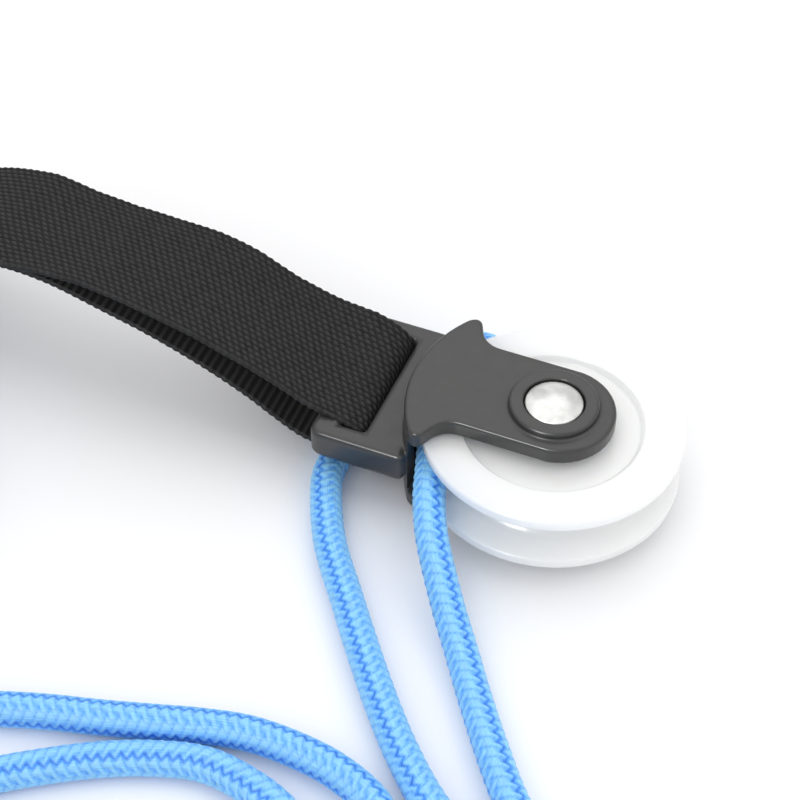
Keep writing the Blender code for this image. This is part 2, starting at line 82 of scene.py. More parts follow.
def dress(piece, slot, material, *nodes):
    """The piece gets its material and stands for the CAD nodes."""
    piece.data.materials.clear()
    piece.data.materials.append(material)
    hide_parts(*nodes)


def put_on(piece, body, slot, material, *nodes):
    """The piece gets its material, stands for the CAD nodes and rides on a body."""
    dress(piece, slot, material, *nodes)
    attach(piece, body)
    return piece


def points_of(obj):
    """The mesh's points as an array of rows."""
    flat = np.empty(len(obj.data.vertices) * 3)
    obj.data.vertices.foreach_get("co", flat)
    return flat.reshape(-1, 3)


def arc(centre, radius, start, end, count):
    """Points on an arc in a plane, angles in degrees, both ends included."""
    angles = np.radians(np.linspace(start, end, count))
    return [(centre[0] + radius * math.cos(a), centre[1] + radius * math.sin(a)) for a in angles]


def lathe(name, profile, steps, crease=35.0):
    """A closed profile of (radius, height), or one from the axis to the axis, turned about Z."""
    count = len(profile)
    points = []
    for k in range(steps):
        turn = 2.0 * math.pi * k / steps
        for radius, height in profile:
            points.append((radius * math.cos(turn), radius * math.sin(turn), height))
    on_axis = profile[0][0] < 1e-6 and profile[-1][0] < 1e-6
    last = count - 1 if on_axis else count
    faces = []
    for k in range(steps):
        following = (k + 1) % steps
        for i in range(last):
            j = (i + 1) % count
            faces.append((k * count + i, k * count + j, following * count + j, following * count + i))
    mesh = bpy.data.meshes.new(name)
    mesh.from_pydata(points, [], faces)
    obj = link(bpy.data.objects.new(name, mesh))
    bm = bmesh.new()
    bm.from_mesh(obj.data)
    bmesh.ops.remove_doubles(bm, verts=bm.verts, dist=1e-6)
    bmesh.ops.dissolve_degenerate(bm, dist=1e-7, edges=bm.edges)
    bmesh.ops.recalc_face_normals(bm, faces=bm.faces)
    bm.to_mesh(obj.data)
    bm.free()
    obj.data.shade_smooth()
    obj.data.set_sharp_from_angle(angle=math.radians(crease))
    return obj


def lying(centre, heading):
    """The place of a piece made about Z whose axis lies flat along a heading."""
    turn = Matrix.Rotation(heading, 4, "Z") @ Matrix.Rotation(math.radians(90.0), 4, "Y")
    return Matrix.Translation(centre) @ turn


def curve_through(knots, samples):
    """Points on a Catmull-Rom curve from the second knot to just before the last but one."""
    t = np.linspace(0.0, 1.0, samples, endpoint=False)[:, None]
    dense = []
    for i in range(len(knots) - 3):
        a, b, c, d = knots[i:i + 4]
        dense.append(0.5 * (
            2.0 * b + (c - a) * t + (2.0 * a - 5.0 * b + 4.0 * c - d) * t * t
            + (3.0 * b - a - 3.0 * c + d) * t ** 3
        ))
    return np.vstack(dense)


def smooth_line(route, spacing):
    """Evenly spaced points on a smooth curve through the route's points."""
    knots = np.array(route, dtype=float)
    ends = np.vstack([2.0 * knots[0] - knots[1], knots, 2.0 * knots[-1] - knots[-2]])
    return even(np.vstack([curve_through(ends, 24), knots[-1:]]), spacing)


def closed_line(points, spacing):
    """A smooth closed line in X and Z, evenly spaced, without its repeated last point."""
    knots = np.array(points, dtype=float)
    dense = curve_through(np.vstack([knots[-1:], knots, knots[:2]]), 16)
    return even(np.vstack([dense, dense[:1]]), spacing)[:-1]


def even(points, spacing):
    """The line through the points, divided into equal steps of about the spacing."""
    steps = np.linalg.norm(np.diff(points, axis=0), axis=1)
    along = np.concatenate([[0.0], np.cumsum(steps)])
    count = max(2, int(round(along[-1] / spacing)) + 1)
    wanted = np.linspace(0.0, along[-1], count)
    return np.column_stack([np.interp(wanted, along, points[:, k]) for k in range(points.shape[1])])


def closed_directions(line):
    """Unit vectors along a closed line in a plane, and square to it on its outer side."""
    around = np.roll(line, -1, axis=0) - np.roll(line, 1, axis=0)
    around /= np.linalg.norm(around, axis=1)[:, None]
    return around, np.column_stack([around[:, 1], -around[:, 0]])


def woven_mesh(name, points, faces, crown, layer, spots):
    """A smooth mesh with the weave's height stored as crown, which the materials turn into painted light
    and shade, and places on it as UVs.
    """
    mesh = bpy.data.meshes.new(name)
    mesh.from_pydata(points.reshape(-1, 3).tolist(), [], faces)
    mesh.shade_smooth()
    values = mesh.attributes.new("crown", "FLOAT", "POINT")
    values.data.foreach_set("value", crown.reshape(-1).astype(np.float32))
    uv = mesh.uv_layers.new(name=layer)
    corner = np.empty(len(mesh.loops), dtype=np.int32)
    mesh.loops.foreach_get("vertex_index", corner)
    uv.data.foreach_set("uv", spots[corner].reshape(-1).astype(np.float32))
    return link(bpy.data.objects.new(name, mesh))


# ---------------------------------------------------------------- materials

class Look:
    """A node material on one Principled shader."""

    def __init__(self, name, colour, roughness, metallic=0.0, **sockets):
        self.material = bpy.data.materials.new(name)
        self.material.use_nodes = True
        self.tree = self.material.node_tree
        self.shader = self.tree.nodes["Principled BSDF"]
        self.set("Base Color", (*colour, 1.0))
        self.set("Roughness", roughness)
        self.set("Metallic", metallic)
        for socket, value in sockets.items():
            self.set(socket.replace("_", " "), value)

    def set(self, socket, value):
        self.shader.inputs[socket].default_value = value

    def node(self, kind, **settings):
        made = self.tree.nodes.new(kind)
        for key, value in settings.items():
            setattr(made, key, value)
        return made

    def link(self, output, target):
        self.tree.links.new(output, target)

    def coordinates(self, scale, source):
        place = self.node("ShaderNodeTexCoord")
        mapping = self.node("ShaderNodeMapping")
        mapping.inputs["Scale"].default_value = scale
        self.link(place.outputs[source], mapping.inputs["Vector"])
        return mapping.outputs["Vector"]

    def noise(self, scale, detail, stretch=(1.0, 1.0, 1.0), source="Object"):
        texture = self.node("ShaderNodeTexNoise")
        texture.inputs["Scale"].default_value = scale
        texture.inputs["Detail"].default_value = detail
        self.link(self.coordinates(stretch, source), texture.inputs["Vector"])
        return texture.outputs["Fac"]

    def ramp(self, value, low, high, start, end, middle=None):
        """Colours from low at start to high at end. A middle colour comes at 0.5."""
        ramp = self.node("ShaderNodeValToRGB")
        elements = ramp.color_ramp.elements
        elements[0].position = start
        elements[1].position = end
        elements[0].color = (*low, 1.0)
        elements[1].color = (*high, 1.0)
        if middle:
            elements.new(0.5).color = (*middle, 1.0)
        self.link(value, ramp.inputs["Fac"])
        return ramp.outputs["Color"]

    def spread(self, value, low, high):
        """A noise value, which lies mostly between 0.3 and 0.7, spread from low to high."""
        spread = self.node("ShaderNodeMapRange")
        spread.inputs["From Min"].default_value = 0.3
        spread.inputs["From Max"].default_value = 0.7
        spread.inputs["To Min"].default_value = low
        spread.inputs["To Max"].default_value = high
        self.link(value, spread.inputs["Value"])
        return spread.outputs["Result"]

    def attribute(self, name):
        found = self.node("ShaderNodeAttribute")
        found.attribute_name = name
        return found.outputs["Fac"]

    def colour_from(self, output):
        self.link(output, self.shader.inputs["Base Color"])

    def roughness_from(self, output):
        self.link(output, self.shader.inputs["Roughness"])

    def bump(self, height, strength, distance):
        bump = self.node("ShaderNodeBump")
        bump.inputs["Strength"].default_value = strength
        bump.inputs["Distance"].default_value = distance
        earlier = self.shader.inputs["Normal"].links
        if earlier:
            self.link(earlier[0].from_socket, bump.inputs["Normal"])
        self.link(height, bump.inputs["Height"])
        self.link(bump.outputs["Normal"], self.shader.inputs["Normal"])


def moulded_black(name, shade, grain):
    """Moulded nylon: fine spark-eroded grain, faint flow mottling, softer gloss on wear."""
    look = Look(name, (shade, shade, shade), 0.5, Specular_IOR_Level=0.6)
    mottle = look.noise(320.0, 3.0)
    look.colour_from(look.ramp(
        mottle, (shade * 0.96, shade * 0.955, shade * 0.945), (shade * 1.05, shade * 1.04, shade * 1.02),
        0.35, 0.7,
    ))
    look.roughness_from(look.spread(look.noise(400.0, 2.0), 0.29, 0.37))
    look.bump(look.noise(grain, 2.0), 0.10, 0.0001)
    look.bump(look.noise(0.25 * grain, 1.0), 0.05, 0.0001)
    return look.material


def milky_nylon(name, tint):
    """Natural nylon: milky and translucent, with faint turning marks and clouding."""
    look = Look(name, tint, 0.32, Specular_IOR_Level=0.5)
    look.set("Subsurface Weight", 0.8)
    look.set("Subsurface Radius", (1.0, 1.05, 1.15))
    look.set("Subsurface Scale", 0.01)
    low = tuple(0.985 * c for c in tint)
    look.colour_from(look.ramp(look.noise(45.0, 3.0), low, tint, 0.3, 0.7))
    look.roughness_from(look.spread(look.noise(220.0, 2.0), 0.2, 0.27))
    look.bump(look.noise(500.0, 2.0), 0.015, 0.0001)
    return look.material


def plated_steel(name):
    """A pressed rivet: bright plating with soft dimples and hairline scratches."""
    look = Look(name, (0.86, 0.86, 0.85), 0.3, 1.0)
    look.colour_from(look.ramp(look.noise(170.0, 4.0), (0.55, 0.55, 0.535), (0.83, 0.83, 0.81), 0.33, 0.58))
    look.roughness_from(look.spread(look.noise(600.0, 3.0), 0.42, 0.56))
    look.bump(look.noise(330.0, 2.0), 0.12, 0.0002)
    look.bump(look.noise(900.0, 2.0, (1.0, 9.0, 1.0)), 0.08, 0.0001)
    return look.material


def sintered_bronze(name):
    """A porous bearing bronze."""
    look = Look(name, (0.55, 0.38, 0.2), 0.45, 1.0)
    pores = look.noise(1800.0, 3.0)
    look.colour_from(look.ramp(pores, (0.32, 0.2, 0.1), (0.6, 0.42, 0.23), 0.35, 0.6))
    look.bump(pores, 0.2, 0.0001)
    return look.material


def braided_rope(name):
    """Polyester braid: a painted highlight on the crowns of the strands and painted shade, deep blue,
    between them.
    """
    look = Look(name, (0.11, 0.43, 0.95), 0.55, Specular_IOR_Level=0.35)
    look.set("Sheen Weight", 0.25)
    look.set("Sheen Roughness", 0.4)
    look.set("Sheen Tint", (0.6, 0.85, 1.0, 1.0))
    look.set("Subsurface Weight", 0.12)
    look.set("Subsurface Radius", (0.3, 0.7, 1.0))
    look.set("Subsurface Scale", 0.0015)
    deep, blue, light = (0.008, 0.08, 0.60), (0.085, 0.36, 0.96), (0.28, 0.64, 1.0)
    # painted light and shade: the crown height makes the colour light on the strands' crowns and deep blue
    # in the hollows between them, where shade falls
    painted_light_and_shade = look.ramp(look.attribute("crown"), deep, light, 0.0, 0.95, blue)
    fibre = look.noise(1.0, 3.0, (300.0, 4200.0, 1.0), "UV")
    tone = look.spread(fibre, 0.82, 1.12)
    mix = look.node("ShaderNodeMix", data_type="RGBA", blend_type="MULTIPLY")
    mix.inputs["Factor"].default_value = 1.0
    look.link(painted_light_and_shade, mix.inputs["A"])
    grey = look.node("ShaderNodeCombineColor")
    for channel in ("Red", "Green", "Blue"):
        look.link(tone, grey.inputs[channel])
    look.link(grey.outputs["Color"], mix.inputs["B"])
    look.colour_from(mix.outputs["Result"])
    look.bump(fibre, 0.25, 0.00012)
    return look.material


def woven_black(name, low, high):
    """Webbing: matte yarn with a painted highlight on the crowns and painted shade between the ribs, with
    fine filaments and lint.
    """
    look = Look(name, (high, high, high), 0.75, Specular_IOR_Level=0.3)
    look.set("Sheen Weight", 0.06)
    look.set("Sheen Roughness", 0.5)
    # painted light and shade: the crown height makes the yarn near black in the hollows of the weave and
    # lighter on its crowns
    look.colour_from(look.ramp(
        look.attribute("crown"), (low, low, low * 1.02), (high, high, high * 1.01), 0.3, 1.0,
    ))
    look.bump(look.noise(2600.0, 3.0, (0.35, 1.0, 1.0)), 0.3, 0.00012)
    look.roughness_from(look.spread(look.noise(700.0, 2.0), 0.62, 0.85))
    return look.material


def closed_foam(name, shade):
    """Closed-cell foam: fine skin cells with shallow pits."""
    look = Look(name, (shade, shade, shade), 0.85, Specular_IOR_Level=0.3)
    cells = look.node("ShaderNodeTexVoronoi")
    cells.inputs["Scale"].default_value = 900.0
    look.link(look.coordinates((1.0, 1.0, 1.0), "Object"), cells.inputs["Vector"])
    distance = cells.outputs["Distance"]
    look.colour_from(look.ramp(
        distance, (shade * 1.25, shade * 1.25, shade * 1.27), (shade * 0.6, shade * 0.6, shade * 0.6),
        0.2, 0.8,
    ))
    look.bump(distance, -0.5, 0.0002)
    look.bump(look.noise(120.0, 3.0), 0.12, 0.0008)
    return look.material


def hook_tape(name, shade):
    """Hook-and-loop tape: a matte nap of fine loops."""
    look = Look(name, (shade, shade, shade), 0.9, Specular_IOR_Level=0.2)
    look.set("Sheen Weight", 0.3)
    loops = look.noise(3200.0, 4.0)
    look.colour_from(look.ramp(loops, (shade * 0.5,) * 3, (shade * 1.5,) * 3, 0.3, 0.7))
    look.bump(loops, 0.7, 0.0002)
    return look.material


def white_floor(name):
    """A matte white tabletop with a faint unevenness of tone."""
    look = Look(name, (0.93, 0.93, 0.94), 0.6, Specular_IOR_Level=0.2)
    look.colour_from(look.ramp(look.noise(3.0, 2.0), (0.92, 0.92, 0.935), (0.945, 0.945, 0.95), 0.3, 0.7))
    return look.material


HOUSING_LOOK = moulded_black("housing_nylon", 0.034, 1500.0)
GRIP_LOOK = moulded_black("grip_plastic", 0.035, 900.0)
WHEEL_LOOK = milky_nylon("wheel_nylon", (0.88, 0.89, 0.885))
WASHER_LOOK = milky_nylon("washer_nylon", (0.82, 0.83, 0.83))
RIVET_LOOK = plated_steel("rivet_steel")
BRONZE_LOOK = sintered_bronze("bushing_bronze")
ROPE_LOOK = braided_rope("rope_braid")
WEB_LOOK = woven_black("black_webbing", 0.0015, 0.033)
FOAM_LOOK = closed_foam("black_foam", 0.028)
TIE_LOOK = hook_tape("tie_tape", 0.03)


# ---------------------------------------------------------------- moulded and turned parts

WHEEL_WIDTH = 13.0 * MM
WHEEL_RADIUS = 25.0 * MM
WHEEL_MID = 12.0 * MM           # the height of the wheel's middle plane
ROPE_WRAP_RADIUS = 22.2 * MM    # from the axle to the middle of the rope
GROOVE_RADIUS = 3.5 * MM
GROOVE_EDGE = 4.6 * MM          # from the wheel's middle plane to the groove's lip
FACE_RECESS_RADIUS = 17.25 * MM
FACE_RECESS_DEPTH = 1.2 * MM
GAP = 0.3 * MM                  # the play between neighbouring parts
BORE = 3.3 * MM
BUSHING_RADIUS = 4.5 * MM
WASHER_RADIUS = 8.0 * MM
CHEEK = 7.0 * MM                # from the wheel's middle plane to either cheek
RIVET_SHANK_RADIUS = 3.0 * MM
RIVET_TAIL_TOP = 1.4 * MM
RIVET_HEAD_RADIUS = 5.5 * MM
RIVET_HEAD_LOW = 22.6 * MM
RIVET_RIM = 0.9 * MM            # the straight part of the head below its dome
RIVET_DOME = 1.15 * MM

# dents in the rivet's head, in millimetres: (x, y, width, depth)
DENTS = (
    (1.6, -0.8, 1.5, 0.09), (-1.9, 0.6, 1.7, 0.08), (0.1, 2.3, 1.3, 0.06), (-0.6, -2.6, 1.4, 0.07),
    (3.2, 1.7, 1.2, 0.05), (-3.4, -1.6, 1.3, 0.05), (0.3, 0.3, 0.9, 0.04),
)

BOSS_EDGE = 9.2 * MM            # from the axle to just outside the boss
LOOP_END = -29.5 * MM           # along X, where the flat loop ends


def settle(obj):
    """What the modifiers make becomes the object's own mesh."""
    graph = bpy.context.evaluated_depsgraph_get()
    skin = bpy.data.meshes.new_from_object(obj.evaluated_get(graph))
    obj.modifiers.clear()
    obj.data = skin
    skin.name = obj.name


def ease(obj, rounds, share=None):
    """Round the edges. share gives the vertices' weights from 0 to 1."""
    modifier = obj.modifiers.new("ease", "SMOOTH")
    modifier.factor = 0.5
    modifier.iterations = rounds
    if share is not None:
        group = obj.vertex_groups.new(name="eased")
        for index in np.flatnonzero(share > 0.01):
            group.add([int(index)], float(share[index]), "REPLACE")
        modifier.vertex_group = "eased"
    settle(obj)
    obj.vertex_groups.clear()


def softened(name, node, body, slot, material, voxel, rounds, more=None):
    """A moulded part: the CAD solid's shape with its edges and inner corners eased.

    more is a function that gives weights to the points that are rounded a second time.
    """
    mesh = bpy.data.objects[node].data.copy()
    obj = link(bpy.data.objects.new(name, mesh))
    remesh = obj.modifiers.new("skin", "REMESH")
    remesh.mode = "VOXEL"
    remesh.voxel_size = voxel
    settle(obj)
    ease(obj, rounds)
    if more is not None:
        ease(obj, 14 if FINE else 3, more(points_of(obj)))
    obj.data.shade_smooth()
    put_on(obj, body, slot, material, node)


def away_from_boss(points):
    """1 on the fork's arm and head, fading to 0 at the boss, and 0 at the loop."""
    fade = 0.8 * MM
    from_axle = np.hypot(points[:, 0], points[:, 1])
    return np.clip((from_axle - BOSS_EDGE) / fade, 0.0, 1.0) * (points[:, 0] > LOOP_END)


def ring_section(inner, outer, low, high, edge):
    """A rectangle in section with rounded outer edges and eased inner ones."""
    return (
        [(inner, high - 0.5 * edge), (inner + 0.5 * edge, high)]
        + arc((outer - edge, high - edge), edge, 90.0, 0.0, 6)
        + arc((outer - edge, low + edge), edge, 0.0, -90.0, 6)
        + [(inner + 0.5 * edge, low), (inner, low + 0.5 * edge)]
    )


def make_wheel():
    """The grooved wheel with recessed faces, and the bushing and washers it turns on."""
    half = 0.5 * WHEEL_WIDTH
    hub_half = half - FACE_RECESS_DEPTH
    bore = BUSHING_RADIUS + GAP
    lead_in = 0.2 * MM
    hollow = 0.5 * MM
    brim = 0.35 * MM
    lip = 0.5 * MM
    groove_lip = 0.3 * MM
    steps = 10 if FINE else 5
    upper = [(bore, hub_half - lead_in), (bore + lead_in, hub_half)]
    upper += arc((FACE_RECESS_RADIUS - 0.9 * MM, hub_half + hollow), hollow, 270.0, 350.0, steps)
    upper += arc((FACE_RECESS_RADIUS + brim, half - brim), brim, 170.0, 90.0, steps)
    upper += arc((WHEEL_RADIUS - lip, half - lip), lip, 90.0, 0.0, steps)
    upper += arc((WHEEL_RADIUS - groove_lip, GROOVE_EDGE), groove_lip, 0.0, -75.0, steps)
    groove = arc((ROPE_WRAP_RADIUS, 0.0), GROOVE_RADIUS, 105.0, 255.0, 4 * steps)
    section = upper + groove + [(r, -z) for r, z in reversed(upper)]
    profile = [(r, WHEEL_MID + z) for r, z in section]
    wheel = lathe("wheel_turned", profile, 256 if FINE else 96)
    put_on(wheel, "wheel", "wheel_nylon", WHEEL_LOOK, "wheel")

    section = ring_section(BORE, BUSHING_RADIUS, WHEEL_MID - hub_half, WHEEL_MID + hub_half, 0.25 * MM)
    bushing = lathe("bushing_turned", section, 96)
    put_on(bushing, "wheel", "bushing_bronze", BRONZE_LOOK, "wheel_bushing")
    for side, sign in (("top", 1.0), ("bottom", -1.0)):
        low, high = sorted((WHEEL_MID + sign * (hub_half + GAP), WHEEL_MID + sign * (CHEEK - GAP)))
        washer = lathe(f"washer_{side}", ring_section(BORE, WASHER_RADIUS, low, high, 0.2 * MM), 128)
        put_on(washer, "housing", "washer_nylon", WASHER_LOOK, f"thrust_washer_{side}")


def make_rivet():
    """The domed rivet head, hand-set and slightly dented, with its shank and flat tail."""
    edge = RIVET_HEAD_LOW + RIVET_RIM
    turn = 0.35 * MM
    tail_edge = 0.3 * MM
    sphere = (RIVET_HEAD_RADIUS ** 2 + RIVET_DOME ** 2) / (2.0 * RIVET_DOME)
    reach = math.degrees(math.asin((RIVET_HEAD_RADIUS - 0.3 * MM) / sphere))
    crown = arc((0.0, edge + RIVET_DOME - sphere), sphere, 90.0, 90.0 - reach, 24)
    profile = [(0.0, crown[0][1])] + crown[1:]
    profile += arc((RIVET_HEAD_RADIUS - turn, crown[-1][1] - 0.36 * MM), turn, 65.0, 0.0, 6)
    profile += [(RIVET_HEAD_RADIUS, RIVET_HEAD_LOW), (RIVET_SHANK_RADIUS, RIVET_HEAD_LOW)]
    profile += [(RIVET_SHANK_RADIUS, RIVET_TAIL_TOP), (RIVET_HEAD_RADIUS, RIVET_TAIL_TOP)]
    profile += arc((RIVET_HEAD_RADIUS - tail_edge, tail_edge), tail_edge, 0.0, -90.0, 6)
    profile += [(0.0, 0.0)]
    rivet = lathe("rivet_turned", profile, 192 if FINE else 64)
    points = points_of(rivet)
    x, y, z = points.T
    drop = np.zeros(len(points))
    for dx, dy, width, depth in DENTS:
        away = ((x / MM - dx) ** 2 + (y / MM - dy) ** 2) / width ** 2
        drop += depth * MM * np.exp(-away)
    z -= np.where(z > edge, drop, 0.0)
    rivet.data.vertices.foreach_set("co", points.reshape(-1))
    rivet.data.update()
    put_on(rivet, "housing", "rivet_steel", RIVET_LOOK, "axle_rivet")


softened("fork_moulding", "fork_housing", "housing", "housing_nylon", HOUSING_LOOK,
         (0.16 if FINE else 0.5) * MM, 20, away_from_boss)
make_wheel()
make_rivet()


# ---------------------------------------------------------------- webbing

STRAP_HALF_WIDTH = 12.5 * MM
STRAP_THICKNESS = 1.4 * MM
STRAP_FLARE = 0.045             # the share by which it spreads where it folds over the bar
FLARE_START = -52.0 * MM
FLARE_LENGTH = 10.0 * MM
RIB = 1.05 * MM                 # the width of a rib, across the webbing
PICK = 1.6 * MM                 # the length of a float, along it
WEAVE_RELIEF = 0.36 * MM
EDGE_LOOP = 0.3 * MM

# the outer face of the webbing in its side view, in millimetres: the turn round the
# loop's bar, the upper layer and the lower layer. The turn round the anchor is an arc.
BAR_TURN = [
    (-41.6, 6.8), (-38.6, 6.9), (-35.7, 8.0), (-33.9, 10.4), (-33.3, 13.1), (-34.2, 15.5),
    (-37.2, 17.0),
]
UPPER = [
    (-41.6, 17.9), (-47.0, 19.4), (-60.0, 24.5), (-71.0, 28.4), (-87.0, 30.9),
    (-102.0, 31.9), (-114.0, 31.9), (-127.0, 28.9), (-143.0, 20.5), (-160.0, 10.6),
    (-177.0, 4.4), (-196.0, 2.9), (-225.0, 2.8), (-236.0, 2.9), (-242.0, 5.2),
    (-247.5, 11.4), (-253.0, 17.7),
]
LOWER = [
    (-262.0, 0.0), (-246.0, 0.0), (-225.0, 0.0), (-196.0, 0.05), (-177.0, 1.7),
    (-160.0, 7.8), (-143.0, 17.4), (-127.0, 25.8), (-114.0, 28.9), (-102.0, 28.8),
    (-88.5, 25.4), (-78.0, 22.3), (-67.5, 18.2), (-59.0, 14.0), (-52.0, 9.6), (-46.5, 7.2),
]
ANCHOR = (-270.0 * MM, 14.7 * MM)
ANCHOR_RADIUS = 13.0 * MM

# how much higher than the middle the two edges lie, in millimetres, at places along X:
# (x, far edge, near edge)
UPPER_EDGES = [
    (-300.0, 0.0, 0.0), (-160.0, 0.0, 0.0), (-140.0, 1.2, 0.0), (-126.0, 1.6, -0.6),
    (-111.0, 1.7, -2.2), (-102.0, 0.3, -0.6), (-93.0, -0.1, 0.1), (-84.0, 0.5, -0.3),
    (-75.0, 1.5, -1.1), (-66.0, 1.6, -1.3), (-58.0, 0.9, -0.9), (-49.0, 1.7, -1.1),
    (-45.0, 2.4, -1.3), (-41.0, 2.7, -1.0), (-38.0, 2.1, -1.4), (-35.5, 1.5, -1.5),
    (-34.0, 0.6, -1.0),
]
LOWER_EDGES = [
    (-300.0, 0.0, 0.0), (-150.0, 0.0, 0.0), (-120.0, 0.5, -0.6), (-60.0, 0.7, -0.7),
    (-47.0, 0.4, -0.6), (-34.0, 0.2, -0.2),
]


def webbing_height(across, along):
    """Height from 0 to 1 of the ribs: rows of oval floats, stepped from row to row."""
    rib = np.floor(across / RIB)
    step = 0.5 * np.mod(rib, 2.0) + 0.07 * np.sin(12.9 * rib)
    lean = 0.16 * np.sin(2.0 * math.pi * across / RIB)
    side = np.sin(math.pi * np.mod(across / RIB, 1.0)) ** 0.8
    run = np.abs(np.sin(math.pi * (along / PICK + step + lean))) ** 0.9
    return side * (0.08 + 0.92 * run)


def ribbon(name, line, half_width, thickness, columns, relief, edges=None, fray=0.0, flare=0.0):
    """A closed band of webbing. Its middle line is in X and Z and its width is along Y.

    relief gives the height from 0 to 1 at a place, and edges how much the far and the near
    edge are raised. Both edges are rounded and follow the weft's small loops, fray deep.
    flare is the share by which the band has widened past FLARE_START and its length.
    """
    outward = closed_directions(line)[1]
    steps = np.linalg.norm(np.roll(line, -1, axis=0) - line, axis=1)
    along = np.concatenate([[0.0], np.cumsum(steps)[:-1]])
    half = 0.5 * thickness
    flat = half_width - half
    outer = [(y, half, 1.0) for y in np.linspace(-flat, flat, columns)]
    bend = np.radians(np.linspace(67.5, -67.5, 7))
    right = [(flat + half * math.cos(a), half * math.sin(a), 0.0) for a in bend]
    inner = [(y, -half, -1.0) for y in np.linspace(flat, -flat, max(columns // 2, 8))]
    left = [(-y, h, 0.0) for y, h, _ in reversed(right)]
    ring = outer + right + inner + left
    across = np.array([p[0] for p in ring])
    height = np.array([p[1] for p in ring])
    face = np.array([p[2] for p in ring])
    place = np.broadcast_to(across[None, :], (len(line), len(ring)))
    run = np.broadcast_to(along[:, None], (len(line), len(ring)))
    inside = 0.5 + 0.5 * np.sin(2.0 * math.pi * run / PICK)
    raised = np.where(face[None, :] >= 0.0, relief(place, run), inside)
    # crown feeds the painted light and shade: the weave's height on the faces and a middling value on the
    # rounded edges
    crown = np.where(face[None, :] == 0.0, 0.35 + 0.4 * raised, raised)
    sunk = WEAVE_RELIEF * (1.0 - raised) * np.abs(face)[None, :]
    level = height[None, :] - np.sign(height)[None, :] * sunk
    loops = fray * (np.abs(np.sin(math.pi * run / PICK)) - 1.0) * (face == 0.0)[None, :]
    spread = 1.0 + flare * np.clip((line[:, 0] - FLARE_START) / FLARE_LENGTH, 0.0, 1.0)[:, None]
    y = place * spread + np.sign(place) * loops
    x = line[:, 0][:, None] + outward[:, 0][:, None] * level
    z = line[:, 1][:, None] + outward[:, 1][:, None] * level
    if edges is not None:
        share = place / half_width
        far, near = edges
        z = z + 0.5 * far[:, None] * (share ** 2 + share) + 0.5 * near[:, None] * (share ** 2 - share)
    count = len(line)
    sides = len(ring)
    grid = np.arange(count * sides).reshape(count, sides)
    next_row = np.roll(grid, -1, axis=0)
    quads = np.stack([grid, next_row, np.roll(next_row, -1, axis=1), np.roll(grid, -1, axis=1)], axis=-1)
    points = np.stack([x, y, z], axis=-1)
    spots = np.column_stack([place.reshape(-1), run.reshape(-1)])
    return woven_mesh(name, points, quads.reshape(-1, 4).tolist(), crown, "webbing", spots)


def make_strap():
    """The webbing from the bar to the door anchor and back."""
    wrap = arc(ANCHOR, ANCHOR_RADIUS + GAP + STRAP_THICKNESS, 46.0, 262.0, 14)
    wrap = [(x / MM, z / MM) for x, z in wrap]
    outer = closed_line(np.array(BAR_TURN + UPPER + wrap + LOWER) * MM, (0.34 if FINE else 0.9) * MM)
    around, outward = closed_directions(outer)
    middle = outer - 0.5 * STRAP_THICKNESS * outward
    share = (around[:, 0] < 0.0).astype(float)
    share = np.convolve(np.concatenate([share[-7:], share, share[:7]]), np.ones(15) / 15.0, mode="valid")
    edges = []
    for k in (1, 2):
        upper, lower = (
            np.interp(middle[:, 0] / MM, np.array(table)[:, 0], np.array(table)[:, k]) * MM
            for table in (UPPER_EDGES, LOWER_EDGES)
        )
        edges.append(share * upper + (1.0 - share) * lower)
    strap = ribbon(
        "strap_webbing", middle, STRAP_HALF_WIDTH, STRAP_THICKNESS, 134 if FINE else 54,
        webbing_height, edges, EDGE_LOOP, STRAP_FLARE,
    )
    dress(strap, "webbing", WEB_LOOK, "web_strap")
    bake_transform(strap)


make_strap()


# ---------------------------------------------------------------- foam, anchor and grips

GRIP_RADIUS = 14.0 * MM
GRIP_BORE = 6.3 * MM
GRIP_START = 8.3 * MM
GRIP_END = 50.3 * MM
ANCHOR_BORE = 7.3 * MM
ANCHOR_HALF = 46.0 * MM
CAP_RADIUS = 12.5 * MM
CAP_THICKNESS = 4.0 * MM


def foam_sleeve(name, centre, heading, inner, outer, low, high, node, body):
    """A soft sleeve with rolled ends, slightly uneven along its length."""
    roll = 2.6 * MM
    steps = 14
    rows = 40 if FINE else 16
    upper = arc((outer - roll, high - roll), roll, 90.0, 0.0, steps)
    lower = arc((outer - roll, low + roll), roll, 0.0, -90.0, steps)
    side = [(outer, z) for z in np.linspace(high - roll, low + roll, rows)[1:-1]]
    tuck = 0.8 * MM
    dip = 0.15 * MM
    profile = [(inner, high - tuck), (inner + tuck, high - dip)] + upper + side + lower
    profile += [(inner + tuck, low + dip), (inner, low + tuck)]
    sleeve = lathe(name, profile, 160 if FINE else 64, 60.0)
    points = points_of(sleeve)
    radius = np.hypot(points[:, 0], points[:, 1])
    turn = np.arctan2(points[:, 1], points[:, 0])
    reach = (points[:, 2] - low) / (high - low)
    swell = -0.18 * MM + 0.12 * MM * np.sin(3.0 * turn + 9.0 * reach) * np.sin(math.pi * reach)
    swell += 0.06 * MM * np.sin(7.0 * turn + 31.0 * reach)
    share = np.clip((radius - inner) / (outer - inner), 0.0, 1.0)
    points[:, :2] *= (1.0 + swell * share / np.maximum(radius, 1e-6))[:, None]
    sleeve.data.vertices.foreach_set("co", points.reshape(-1))
    sleeve.data.transform(lying(centre, heading))
    put_on(sleeve, body, "foam", FOAM_LOOK, node)


